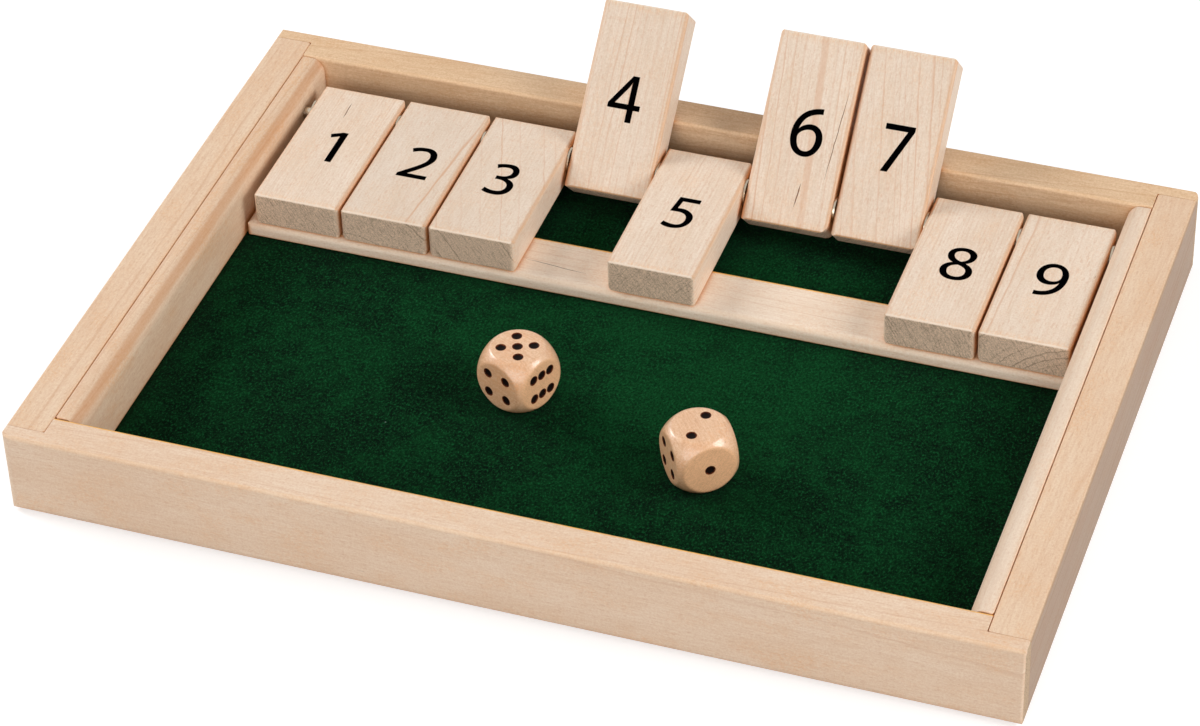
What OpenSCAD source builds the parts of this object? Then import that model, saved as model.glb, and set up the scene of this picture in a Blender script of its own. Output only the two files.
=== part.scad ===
// Shut the box game: a shallow wooden tray lined with felt, nine number tiles that turn on one
// steel rod behind a ledge, and two wooden dice.
// Millimetres. The origin is the centre of the tray's underside, +X runs along the row from tile 1
// to tile 9, +Y from the player's edge to the row of tiles, and +Z is up.

/* [Tray] */
// Height of the rails
rail_h = 27; // [25:0.5:34]
// Thickness of the rails
rail_t = 11.7; // [10:0.1:16]
// Thickness of the front and rear rails' cheeks, where the side rails are housed in their ends
cheek_t = 4.8; // [4.2:0.1:6]
// Radii of the tray's upright outer corners: front left, front right, rear right, rear left
corner_radii = [3.2, 1, 3.5, 1.5];
// Rounding of the rails' top edges
rail_top_r = 1; // [0.4:0.1:2]
// Rounding of the rails' outer bottom edges
rail_foot_r = 2.5; // [1:0.1:3]
// Clear depth of the felt in front of the ledge
play_d = 114.1; // [90:0.1:150]
// Thickness of the base panel, flush with the rails' undersides
panel_t = 7; // [4:0.5:8]
// Width of the rebate under the rails that the base panel is let into
rebate_w = 5; // [3:0.5:6]
// Thickness of the felt mat
felt_t = 1; // [0.5:0.1:1.5]
// Width of the moulded strips inside the side rails
strip_w = 7; // [6:0.1:10]
// Radius of the strips' rounded top inner edge
strip_r = 5; // [3:0.1:5.5]
// Rounding of the strips' top end edges and outer end corners
strip_end_r = 0.8; // [0.2:0.1:1.5]
// Width of the ledge that the lowered tiles rest on
ledge_w = 18.4; // [14:0.1:24]
// Rounding of the ledge's front and end top edges
ledge_r = 2.2; // [1:0.1:2.5]

/* [Tiles] */
// Number of tiles in the row
tile_count = 9; // [7:1:12]
// Tiles that stand raised against the rear rail
raised_tiles = [4, 6, 7];
// Width of a tile, along the row
tile_w = 26.8; // [20:0.1:30]
// Length of a tile, from its free end to its hinge end
tile_l = 58; // [50:0.1:64]
// Thickness of a tile
tile_t = 10.8; // [9:0.1:12]
// Length of the tail behind the rod
tile_tail = 8.4; // [7:0.1:9]
// Radius of the tail's left corner, seen from above
tail_left_r = 1.3; // [0.6:0.1:4]
// Radius of the tail's right corner, seen from above
tail_right_r = 2.9; // [0.6:0.1:4]
// Radius of the free end's corners, seen from above
nose_r = 1.4; // [0.6:0.1:4]
// Radius of the moulded round along the tile's lower left edge
tile_round = 2.6; // [1:0.1:3.5]
// Rounding of the long upper edges and of the tail's upper edge
tile_side_r = 1.3; // [0.6:0.1:2]
// Rounding of the tile's other edges
tile_edge = 0.7; // [0.3:0.1:1]
// Distance from the ledge's front edge back to the tiles' free ends
tile_setback = 0.3; // [0.2:0.1:4]
// Gap between the tiles' tails and the rear rail
tail_gap = 8.2; // [6:0.1:12]

/* [Rod] */
// Diameter of the hinge rod
rod_dia = 4; // [3:0.1:5]
// Length of rod let into each strip
rod_seat = 5; // [3:0.1:5.5]
// Length of rod left bare between the left strip and the first washer
rod_bare = 2.9; // [0.5:0.1:6]
// Outer diameter of the washers
washer_dia = 9; // [7.5:0.1:9.2]
// Thickness of the washers
washer_t = 0.6; // [0.4:0.1:2]

/* [Dice] */
// Width of a die across its flats
die_s = 18; // [14:0.5:20]
// Diameter of the ball that rounds off the die's corners, as a multiple of its width
die_ball = 1.31; // [1.25:0.01:1.6]
// Diameter of a pip
pip_dia = 3; // [2:0.1:3.4]
// Depth of a pip
pip_depth = 0.4; // [0.2:0.1:0.8]
// Distance of a pip from the middle of its face, along the face's sides
pip_pitch = 3.35; // [3.2:0.05:4]
// Place of the left die's centre on the felt
die_left_pos = [-22, -22.9];
// Turn of the left die about the upright axis
die_left_turn = 67; // [0:1:360]
// Place of the right die's centre on the felt
die_right_pos = [37.1, -40.4];
// Turn of the right die about the upright axis
die_right_turn = 38; // [0:1:360]

/* [Fits] */
// Gap between pieces that are glued or let into each other
seam = 0.1; // [0.05:0.01:0.2]
// Radial clearance of the rod in the strips and the tiles
rod_fit = 0.06; // [0.03:0.01:0.09]
// Radial clearance of the rod in the washers
washer_fit = 0.15; // [0.1:0.01:0.3]
// Play on each side of a washer
washer_play = 0.125; // [0.1:0.025:0.4]
// Gap between a tile and what it rests on
rest_gap = 0.15; // [0.1:0.05:0.3]
// Room between the felt and the tail as it swings under the rod
swing_gap = 0.55; // [0.3:0.05:1.5]

/* [Hidden] */
$fn = 64;

pale_wood = "#E3C9A3";
tile_wood = "#E9D3B4";
dice_wood = "#DDB98C";
felt_green = "#0C4423";
plywood = "#C9A877";
steel = "#C6C6C4";

// The row sets the tray's length: tiles, a washer in every gap, and the bare rod at the left.
tile_gap = washer_t + 2 * washer_play;
tile_pitch = tile_w + tile_gap;
row_l = tile_count * tile_pitch + tile_gap + rod_bare;
tray_l = row_l + 2 * strip_w + 2 * rail_t;
// The felt, the tiles and the gap behind them set its depth.
tray_d = play_d + tile_setback + tile_l + tail_gap + 2 * rail_t;

// Levels and lines across the tray
felt_top = panel_t + felt_t;
front_y = -tray_d / 2 + rail_t;
rear_y = tray_d / 2 - rail_t;
strip_x = row_l / 2;
ledge_y = front_y + play_d;

// The rod is just high enough for the tail to swing under it, and the ledge holds the tiles level.
tail_swing = norm([tile_tail - tile_edge, tile_t / 2 - tile_edge]) + tile_edge;
rod_y = ledge_y + tile_setback + tile_l - tile_tail;
rod_z = felt_top + swing_gap + tail_swing;
ledge_h = rod_z - tile_t / 2 - rest_gap - felt_top;

// A raised tile leans on the rear rail's rounded top inner edge. The lean is counted from upright.
lean_y = rear_y + rail_top_r - rod_y;
lean_z = rail_h - rail_top_r - rod_z;
lean_reach = tile_t / 2 + rail_top_r + rest_gap;
lean = acos(lean_reach / norm([lean_y, lean_z])) - atan2(lean_z, lean_y);
raised_angle = 90 + lean;

function tile_x(i) = -row_l / 2 + rod_bare + tile_gap + (i - 1) * tile_pitch;
function is_raised(i) = len(search(i, raised_tiles)) > 0;

// The waste outside a round of radius r in the corner of the first quadrant
module corner_waste(r) {
    difference() {
        translate([-1, -1]) square(r + 1);
        translate([r, r]) circle(r);
    }
}

// Rectangle from the origin with its own radius at each corner, counter-clockwise from the origin
module eased_rect(size, radii) {
    difference() {
        square(size);
        if (radii[0] > 0) corner_waste(radii[0]);
        if (radii[1] > 0) translate([size.x, 0]) rotate(90) corner_waste(radii[1]);
        if (radii[2] > 0) translate(size) rotate(180) corner_waste(radii[2]);
        if (radii[3] > 0) translate([0, size.y]) rotate(270) corner_waste(radii[3]);
    }
}

// A 2D shape in X and Z, extruded along +Y
module along_y(length) {
    translate([0, length, 0]) rotate([90, 0, 0]) linear_extrude(length) children();
}

// A 2D shape in Y and Z, extruded along +X
module along_x(length) {
    rotate([90, 0, 90]) linear_extrude(length) children();
}

// Block whose outline is eased seen from above, from the front and from the side
module eased_block(size, plan, front, side) {
    intersection() {
        linear_extrude(size.z) eased_rect([size.x, size.y], plan);
        along_y(size.y) eased_rect([size.x, size.z], front);
        along_x(size.x) eased_rect([size.y, size.z], side);
    }
}

// The tray's outer form as one block, which the rails are cut from
module tray_block() {
    edges = [rail_foot_r, rail_foot_r, rail_top_r, rail_top_r];
    translate([-tray_l / 2, -tray_d / 2, 0])
        eased_block([tray_l, tray_d, rail_h], corner_radii, edges, edges);
}

// A block centred on the tray that reaches a given way under the rails, from z upwards
module inlay(reach, z, thickness) {
    size = [tray_l - 2 * rail_t + 2 * reach, tray_d - 2 * rail_t + 2 * reach, thickness];
    translate([-size.x / 2, -size.y / 2, z]) cube(size);
}

// The rebate that the base panel is let into, as a block to cut away
module panel_rebate() {
    inlay(rebate_w, -1, panel_t + 1);
}

// Room of the front rail, or of the rear rail mirrored: full length, with a housing in each end
module cross_rail_room() {
    inner_l = tray_l - 2 * rail_t;
    intersection() {
        translate([-tray_l / 2, -tray_d / 2, 0])
            along_x(tray_l) eased_rect([rail_t, rail_h], [0, 0, rail_top_r, 0]);
        union() {
            translate([-tray_l / 2, -tray_d / 2, 0]) cube([tray_l, cheek_t, rail_h]);
            translate([-inner_l / 2, -tray_d / 2, 0]) cube([inner_l, rail_t, rail_h]);
        }
    }
}

// Room of the left rail, or of the right rail mirrored: its ends lie in the housings
module side_rail_room() {
    length = tray_d - 2 * cheek_t - 2 * seam;
    translate([-tray_l / 2, -length / 2, 0]) eased_block(
        [rail_t - seam, length, rail_h],
        [0, rail_top_r, rail_top_r, 0],
        [0, 0, rail_top_r / 2, 0],
        [0, 0, 0, 0]
    );
}

// A rail: the part of the tray's outer form that lies in its room, less the panel's rebate
module rail() {
    color(pale_wood) difference() {
        intersection() {
            tray_block();
            children();
        }
        panel_rebate();
    }
}

module base_panel() {
    color(plywood) inlay(rebate_w - seam, 0, panel_t);
}

module felt_mat() {
    size = [row_l - 2 * seam, rear_y - front_y - 2 * seam, felt_t];
    color(felt_green) translate([-size.x / 2, front_y + seam, panel_t]) cube(size);
}

// Left strip, or right strip mirrored: a quarter round moulding that carries one end of the rod
module side_strip() {
    length = rear_y - front_y - 2 * seam;
    color(pale_wood) difference() {
        translate([-strip_x - strip_w + seam, front_y + seam, panel_t]) eased_block(
            [strip_w - seam, length, rail_h - panel_t],
            [strip_end_r, 0, 0, strip_end_r],
            [0, 0, strip_r, rail_top_r / 2],
            [0, 0, strip_end_r, strip_end_r]
        );
        translate([-strip_x - rod_seat - seam, rod_y, rod_z])
            rotate([0, 90, 0]) cylinder(h = strip_w, d = rod_dia + 2 * rod_fit);
    }
}

module ledge() {
    size = [row_l - 8 * seam, ledge_w, ledge_h];
    color(pale_wood) translate([-size.x / 2, ledge_y, felt_top]) eased_block(
        size,
        [ledge_r, ledge_r, tile_edge, tile_edge],
        [0, 0, ledge_r, ledge_r],
        [tile_edge, 0, tile_edge, ledge_r]
    );
}

// The rod, with a small chamfer at each end
module hinge_rod() {
    chamfer = rod_dia / 10;
    length = row_l + 2 * rod_seat;
    color(steel) translate([-length / 2, rod_y, rod_z]) rotate([90, 0, 90]) rotate_extrude()
        polygon([
            [0, 0],
            [rod_dia / 2 - chamfer, 0],
            [rod_dia / 2, chamfer],
            [rod_dia / 2, length - chamfer],
            [rod_dia / 2 - chamfer, length],
            [0, length]
        ]);
}

// Washer i lies on the rod between tiles i and i + 1, or at an end of the row
module washer(i) {
    x = tile_x(i + 1) - washer_play - washer_t;
    color(steel) translate([x, rod_y, rod_z]) rotate([0, 90, 0]) difference() {
        cylinder(h = washer_t, d = washer_dia);
        translate([0, 0, -1]) cylinder(h = washer_t + 2, d = rod_dia + 2 * washer_fit);
    }
}

// A tile about the rod's axis, lying level with its free end towards -Y
module tile_blank() {
    difference() {
        translate([0, tile_tail - tile_l, -tile_t / 2]) eased_block(
            [tile_w, tile_l, tile_t],
            [nose_r, nose_r, tail_right_r, tail_left_r],
            [tile_round, tile_edge, tile_side_r, tile_side_r],
            [tile_edge, tile_edge, tile_side_r, tile_edge]
        );
        translate([-1, 0, 0]) rotate([0, 90, 0]) cylinder(h = tile_w + 2, d = rod_dia + 2 * rod_fit);
    }
}

module tile(i) {
    color(tile_wood) translate([tile_x(i), rod_y, rod_z])
        rotate([is_raised(i) ? -raised_angle : 0, 0, 0]) tile_blank();
}

// Places of the pips on a face with n of them, in steps of the pitch from its middle
function pip_places(n) = concat(
    n % 2 == 1 ? [[0, 0]] : [],
    n >= 2 ? [[-1, 1], [1, -1]] : [],
    n >= 4 ? [[-1, -1], [1, 1]] : [],
    n == 6 ? [[0, -1], [0, 1]] : []
);

// The pips of one face, cut into the face that looks along +Z
module face_pips(n) {
    // A shallow cap of this ball leaves a pip of the right width and depth.
    ball_r = (pow(pip_dia / 2, 2) + pow(pip_depth, 2)) / (2 * pip_depth);
    for (p = pip_places(n))
        translate([p.x * pip_pitch, p.y * pip_pitch, die_s / 2 - pip_depth + ball_r]) sphere(ball_r);
}

// A die about its centre with five pips up, four towards -X and six towards -Y
module die_blank() {
    difference() {
        intersection() {
            cube(die_s, center = true);
            sphere(d = die_s * die_ball);
        }
        face_pips(5);
        rotate([180, 0, 90]) face_pips(2);
        rotate([0, -90, 0]) face_pips(4);
        rotate([0, 90, 0]) face_pips(3);
        rotate([90, 0, 0]) face_pips(6);
        rotate([-90, 0, 0]) face_pips(1);
    }
}

// A die on the felt: turned about the upright axis, after a tip about X that sets its upper face
module die(pos, turn, tip) {
    color(dice_wood) translate([pos.x, pos.y, felt_top + rest_gap + die_s / 2])
        rotate([0, 0, turn]) rotate([tip, 0, 0]) die_blank();
}

rail() cross_rail_room();  // front_rail
rail() mirror([0, 1, 0]) cross_rail_room();  // rear_rail
rail() side_rail_room();  // left_rail
rail() mirror([1, 0, 0]) side_rail_room();  // right_rail
base_panel();
felt_mat();
side_strip();  // left_strip
mirror([1, 0, 0]) side_strip();  // right_strip
ledge();
hinge_rod();
for (i = [1:tile_count]) tile(i);
for (i = [0:tile_count]) washer(i);
die(die_left_pos, die_left_turn, 0);  // die_left
die(die_right_pos, die_right_turn, 180);  // die_right
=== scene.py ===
"""Shut the box game: the looks of its wood, felt, steel and print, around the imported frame.

Metres, in the frame's axes. Boards and numerals are described in millimetres, as a maker would,
and MM turns them into metres.
"""

import math
import re

import bmesh
import bpy
from mathutils import Euler, Matrix, Vector, noise


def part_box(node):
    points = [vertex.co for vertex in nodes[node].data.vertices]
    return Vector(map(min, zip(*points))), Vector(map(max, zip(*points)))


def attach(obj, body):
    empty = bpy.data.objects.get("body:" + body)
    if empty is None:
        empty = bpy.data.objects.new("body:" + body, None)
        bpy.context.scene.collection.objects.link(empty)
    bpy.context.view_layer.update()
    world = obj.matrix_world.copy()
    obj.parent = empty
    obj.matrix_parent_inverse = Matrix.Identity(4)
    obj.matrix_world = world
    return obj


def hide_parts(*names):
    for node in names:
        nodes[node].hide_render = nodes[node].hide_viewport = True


MM = 0.001

# The tiles turn about the rod, which lies at this height and this far behind the tray's middle.
ROD = Vector((0, 73.7, 18.271))
RAISED = (4, 6, 7)
RAISED_TURN = -136.369
TILE_WIDTH = 26.8
TILE_LENGTH = 58
TILE_TAIL = 8.4
TILE_THICKNESS = 10.8
TILE_PITCH = 27.65
FIRST_TILE_MIDDLE = -109.15
WASHERS = 10

# The dice: a cube rounded by a ball of this width, and how softly the two run into each other
DIE_WIDTH = 18
DIE_BALL = 23.58
DIE_SOFTNESS = 0.35
PIP_WIDTH = 3.1
PIP_DEPTH = 0.4
PIP_PITCH = 3.3
PIP_BALL = ((PIP_WIDTH / 2) ** 2 + PIP_DEPTH**2) / (2 * PIP_DEPTH)
# How finely a die's faces and the balls of its pips are divided, and the angle of a sharp edge
DIE_CUTS = 39
PIP_SEGMENTS = (28, 40)
SHARP_ANGLE = 22
# The turn that brings the top to each face, by its number of pips
DIE_FACES = {
    5: (0, 0, 0),
    2: (180, 0, 90),
    4: (0, -90, 0),
    3: (0, 90, 0),
    6: (90, 0, 0),
    1: (-90, 0, 0),
}
# Each die's middle in millimetres, its turn about X, then its turn about the upright axis
DICE = {
    "die_left": ((-22, -22.9, 17.15), 0, 67),
    "die_right": ((37.1, -40.4, 17.15), 180, 38),
}

# The felt: its size, its top and underside, its grid, and how far it sinks, swells and ripples
FELT_SIZE = (252.4, 180.4)
FELT_TOP = 8.0
FELT_UNDERSIDE = 7.0
FELT_GRID = (168, 120)
FELT_SINK = 0.06
FELT_SWELL = 0.03
FELT_RIPPLE = 0.025

# Numerals as pen moves, in hundredths of a millimetre: M starts a loop, L draws a line to a point
# and C a curve with two handles. The baseline is y = 0, and the ink is centred on x = 0.
NUMERALS = {
    1: "M 62 0 L 62 1282 L -187 1154 L -239 1312 L 94 1472 L 254 1472 L 254 0",
    2: "M 460 0 L 460 170 L -182 170 L -38 312 C 248 588 424 815 424 1054"
    " C 424 1277 279 1488 23 1488 C -174 1488 -280 1464 -432 1368 L -371 1213"
    " C -213 1305 -117 1324 2 1324 C 152 1324 225 1186 225 1031"
    " C 225 829 89 673 -260 333 L -460 134 L -460 0",
    3: "M -421 82 C -345 20 -201 -25 -16 -25 C 269 -25 426 179 426 430"
    " C 426 567 338 725 117 790 C 312 828 374 985 374 1100 C 374 1286 262 1475 34 1475"
    " C -145 1475 -248 1444 -382 1385 L -322 1214 C -215 1300 -124 1312 -10 1312"
    " C 107 1312 186 1230 186 1122 C 186 943 46 862 -114 862 L -224 862 L -224 707"
    " L -124 707 C 82 707 234 583 234 409 C 234 284 161 147 -51 147"
    " C -190 147 -334 209 -378 242",
    4: "M 308 0 L 308 395 L 500 395 L 500 555 L 308 555 L 308 1450 L 113 1450"
    " L -497 532 L -497 395 L 128 395 L 128 0"
    " M 128 555 L -302 555 L 48 1077 C 70 1110 128 1230 128 1289",
    5: "M 408 1436 L 408 1262 L -105 1262 L -158 911 C -123 916 -93 921 -11 921"
    " C 80 921 170 880 241 832 C 343 760 419 649 419 499 C 419 206 222 -24 -81 -24"
    " C -199 -24 -338 6 -413 81 L -368 227 C -274 181 -135 144 -21 144"
    " C 165 144 232 307 232 441 C 232 618 134 755 -98 755 C -204 755 -255 752 -330 745"
    " L -235 1436",
    6: "M 354 1499 L 354 1332 C 320 1336 288 1333 251 1327 C -86 1278 -244 1066 -296 761"
    " C -250 886 -61 980 79 980 C 326 980 485 789 485 524 C 485 284 310 -25 21 -25"
    " C -280 -25 -485 203 -485 606 C -485 1142 -159 1493 354 1499"
    " M 5 134 C -182 134 -287 316 -287 564 C -287 680 -127 816 70 816"
    " C 190 816 290 713 290 534 C 290 327 204 134 5 134",
    7: "M 443 1459 L -442 1459 L -442 1288 L 244 1288 L -348 0 L -148 0 L 443 1317",
    8: "M -173 763 C -329 712 -464 587 -464 393 C -464 178 -300 -25 7 -25"
    " C 302 -25 474 164 474 374 C 474 581 352 707 184 773 C 340 842 429 990 429 1148"
    " C 429 1328 264 1475 32 1475 C -175 1475 -405 1366 -405 1104"
    " C -405 996 -355 833 -173 763"
    " M 16 126 C -183 126 -272 259 -272 432 C -272 572 -138 658 -9 688"
    " C 191 617 281 542 281 379 C 281 244 183 126 16 126"
    " M 19 1327 C 173 1327 247 1196 247 1096 C 247 1017 217 908 45 835"
    " C -94 874 -222 967 -222 1145 C -222 1285 -72 1327 19 1327",
    9: "M -342 -20 L -342 155 C -306 153 -261 146 -184 157 C 62 195 241 367 287 696"
    " C 237 570 75 509 -49 509 C -276 509 -446 694 -446 955 C -446 1264 -236 1477 10 1477"
    " C 326 1477 476 1177 476 906 C 476 348 199 -51 -342 -20"
    " M 25 1318 C 194 1318 284 1170 284 928 C 284 723 120 668 21 668"
    " C -146 668 -258 781 -258 997 C -258 1176 -145 1318 25 1318",
}
# How far each number is printed off the middle of its tile, across and towards its top
PRINT_OFFSETS = {
    1: (0.15, 0.2),
    2: (0.76, 0.0),
    3: (-0.24, -0.3),
    4: (-0.14, 0.35),
    5: (0.16, -0.35),
    6: (1.4, 0.0),
    7: (0.97, -0.25),
    8: (1.13, -0.1),
    9: (0.44, 0.3),
}
# Baselines, counted from the rod: the upper number's top is towards the rod, the under one's away
UPPER_BASELINE = 28.5
UNDER_BASELINE = 13.23
UPPER_STRETCH = 1.016
UNDER_STRETCH = 0.976
INK_SPREAD = 0.05
INK_STANDS_PROUD = 0.03

# Finishes of the woods, as sRGB colours, and how strongly their lines, blushes and edges show.
# The arrises are those along a board's left and right, seen down its grain, and across its ends:
# along them a painted glow, the orange of light through thin wood, and across the near end a pale
# painted highlight. A board's right side may carry painted shade.
FINISH_COLORS = ("pale", "deep", "line", "blush", "end", "arris", "wear_and_painted_highlight")
FINISH_SHARES = (
    "lines", "blushing", "end_marks", "painted_right_shade", "left_arris", "right_arris", "end_arris",
)
RAIL_FINISH = {
    "pale": (240, 214, 186),
    "deep": (226, 190, 158),
    "line": (208, 158, 122),
    "blush": (230, 180, 134),
    "end": (204, 174, 142),
    "arris": (240, 172, 98),
    "wear_and_painted_highlight": (240, 222, 200),
    "lines": 0.4,
    "blushing": 0.55,
    "end_marks": 0.8,
    "painted_right_shade": 0.0,
    "left_arris": 0.1,
    "right_arris": 0.1,
    "end_arris": 0.0,
}
FRONT_RAIL_FINISH = RAIL_FINISH | {
    "pale": (242, 218, 194),
    "deep": (228, 194, 164),
    "arris": (246, 180, 66),
    "right_arris": 1.0,
}
# The right rail's outer face takes painted shade
RIGHT_RAIL_FINISH = RAIL_FINISH | {
    "painted_right_shade": 1.0,
}
LEFT_STRIP_FINISH = RAIL_FINISH | {
    "arris": (204, 138, 84),
    "blushing": 0.75,
    "right_arris": 0.6,
}
# The rear rail is deeper and more orange than the other rails: partly its own tone, partly painted
# shade for its inner face
REAR_RAIL_FINISH = RAIL_FINISH | {
    "pale": (242, 209, 173),
    "deep": (222, 184, 144),
    "line": (200, 148, 104),
    "blush": (214, 164, 114),
    "arris": (226, 184, 138),
}
PALE_FINISH = RAIL_FINISH | {
    "pale": (244, 224, 202),
    "deep": (232, 206, 182),
    "line": (218, 176, 142),
    "lines": 0.3,
    "blushing": 0.3,
}
LEDGE_FINISH = PALE_FINISH | {
    "pale": (250, 232, 212),
    "deep": (238, 214, 191),
    "arris": (244, 180, 74),
    "lines": 0.5,
    "right_arris": 1.0,
}
TILE_FINISH = {
    "pale": (242, 224, 206),
    "deep": (227, 203, 180),
    "line": (214, 164, 128),
    "blush": (236, 192, 150),
    "end": (241, 213, 186),
    "arris": (212, 154, 100),
    "wear_and_painted_highlight": (244, 226, 206),
    "lines": 0.75,
    "blushing": 0.35,
    "end_marks": 1.0,
    "painted_right_shade": 0.0,
    "left_arris": 0.4,
    "right_arris": 0.55,
    "end_arris": 0.7,
}
# How much lighter or darker each tile's wood is than the rest
TILE_TONES = (1.015, 0.98, 0.985, 0.985, 1.015, 0.995, 0.985, 1.01, 1.01)
DIE_FINISH = RAIL_FINISH | {
    "pale": (244, 205, 168),
    "deep": (224, 172, 130),
    "line": (196, 138, 98),
    "blush": (236, 170, 116),
    "end": (243, 191, 145),
    "lines": 0.12,
    "blushing": 0.8,
    "end_marks": 0.45,
    "left_arris": 0.0,
    "right_arris": 0.0,
}
PLYWOOD_FINISH = RAIL_FINISH | {
    "pale": (224, 196, 158),
    "deep": (202, 166, 124),
    "line": (176, 132, 88),
    "lines": 0.6,
    "left_arris": 0.0,
    "right_arris": 0.0,
}

# Each board: its turn that takes its grain from Y to where it runs, where the tree's pith lay seen
# from its middle, the pith's lean over a millimetre of length, and the width of a ring
ALONG_X = (0, 0, 90)
ALONG_Y = (0, 0, 0)
BOARDS = {
    "front_rail": (ALONG_X, (30, -9), (0.004, 0.05), 4.2, FRONT_RAIL_FINISH),
    "rear_rail": (ALONG_X, (-24, -14), (0.01, -0.06), 3.6, REAR_RAIL_FINISH),
    "left_rail": (ALONG_Y, (42, -20), (0.03, 0.02), 4.0, RAIL_FINISH),
    "right_rail": (ALONG_Y, (-20, -30), (0.02, 0.05), 3.2, RIGHT_RAIL_FINISH),
    "left_strip": (ALONG_Y, (-30, 12), (0.05, 0.0), 2.4, LEFT_STRIP_FINISH),
    "right_strip": (ALONG_Y, (26, 20), (0.0, 0.03), 3.0, PALE_FINISH),
    "ledge": (ALONG_X, (34, -8), (0.02, 0.03), 3.4, LEDGE_FINISH),
    "base_panel": (ALONG_X, (6, -60), (0.01, 0.12), 5.0, PLYWOOD_FINISH),
}
# Each tile's tree, in the same way: tile 2 is flat-sawn, tile 3 is cut at a slant to its grain, and
# tiles 1, 5 and 8 come from slow-grown trees with fine rings.
TILE_TREES = {
    1: ((-60, -24), (0.01, 0.0), 0.8),
    2: ((-10, -19), (0.03, 0.05), 4.6),
    3: ((-60, -30), (-0.36, 0.0), 5.4),
    4: ((58, -12), (0.0, 0.0), 2.1),
    5: ((60, -50), (0.02, 0.0), 0.95),
    6: ((-52, -24), (0.06, 0.02), 2.8),
    7: ((-60, -20), (0.16, 0.0), 2.4),
    8: ((-70, -30), (0.0, 0.01), 1.05),
    9: ((18, -22), (0.03, 0.02), 2.6),
}
DIE_TREES = {"die_left": ((14, 22), (0.2, 0.1), 2.6), "die_right": ((-20, 16), (-0.1, 0.2), 2.2)}
# Hairline cracks, from the middle of their piece, with its grain along Y: start, end and half width
CRACKS = {
    "tile_1": [((-2.2, 22.0, 5.4), (-1.9, 14.5, 5.4), 0.14)],
    "tile_6": [
        ((11.2, -13.5, -5.4), (9.4, 13.2, -5.4), 0.11),
        ((2.75, 15.6, -5.4), (2.07, 22.8, -5.4), 0.17),
    ],
    "ledge": [((-1.5, 39.5, 2.36), (-3.2, 20.5, 2.36), 0.09)],
}
CRACK_COLOR = (112, 70, 42)
FLECK_COLOR = (128, 90, 60)
# How dark end grain goes, and the painted shade on a board's right side, as shares of red, green
# and blue
END_GRAIN_SHADE = (0.4, 0.375, 0.35, 1)
RIGHT_SIDE_PAINTED_SHADE = (0.47, 0.43, 0.41, 1)
# The radius of the corners of an end's patch of end grain
END_CORNER = 2.0
# Painted shade in crannies: the colour wood is darkened and warmed to where light only gets in by
# way of other wood, and how far that painted shade reaches
PAINTED_CRANNY_SHADE = (236, 186, 126)
CRANNY_REACH = 3.0

STEEL_BRIGHT = (212, 198, 178)
STEEL_DULL = (152, 138, 118)
INK_COLOR = (2, 2, 3)
INK_WORN_COLOR = (12, 11, 11)
PIP_COLOR = (20, 11, 9)
PIP_RIM_COLOR = (110, 50, 24)

# The felt's colours, with its painted shade, the spot it is lightest about, and how far from a wall
# its painted shade reaches
FELT_COLORS = {
    "flat": (8, 25, 15),
    "raised": (12, 59, 29),
    "fibre": (24, 94, 50),
    "gap": (5, 15, 11),
    "painted shade": (14, 26, 21),
    "lint": (150, 170, 160),
    "sheen": (60, 190, 100),
}
FELT_PALE_SPOT = (20, 12, 8)
FELT_SHADE_REACH = 14.0

# Camera: where it stands, and the way its right, its top and its back point
CAMERA_PLACE = Vector((303.52, -835.82, 739.55))
CAMERA_RIGHT = Vector((0.94512, 0.32553, -0.02783))
CAMERA_UP = Vector((-0.18672, 0.60808, 0.7716))
CAMERA_BACK = Vector((0.26811, -0.72406, 0.6355))
CAMERA_LENS = 120.73
CAMERA_SENSOR = 36

# Broad lamps: where each stands and its size, in metres, and its power in watts
LAMPS = {
    "left": ((-1.15, 0.25, 0.75), (0.6, 0.6), 11.4),
    "right": ((1.15, 0.0, 0.75), (0.6, 0.6), 10.8),
    "front": ((0.1, -1.3, 0.6), (1.6, 0.8), 10.6),
}
# The floor's size and how far it lies below the tray, in metres, its grey and its own glow
FLOOR_SIZE = 12
FLOOR_DROP = 0.0003
FLOOR_GREY = (0.56, 0.56, 0.56, 1)
FLOOR_GLOW = 0.62
# How much light the surround gives, out of the white that is seen of it
SURROUND_LIGHT = 0.18


def linear(rgb):
    """An sRGB colour of 0 to 255 as the linear one that a shader takes."""
    shares = [value / 255 for value in rgb]
    bent = [s / 12.92 if s <= 0.04045 else ((s + 0.055) / 1.055) ** 2.4 for s in shares]
    return (*bent, 1.0)


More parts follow.
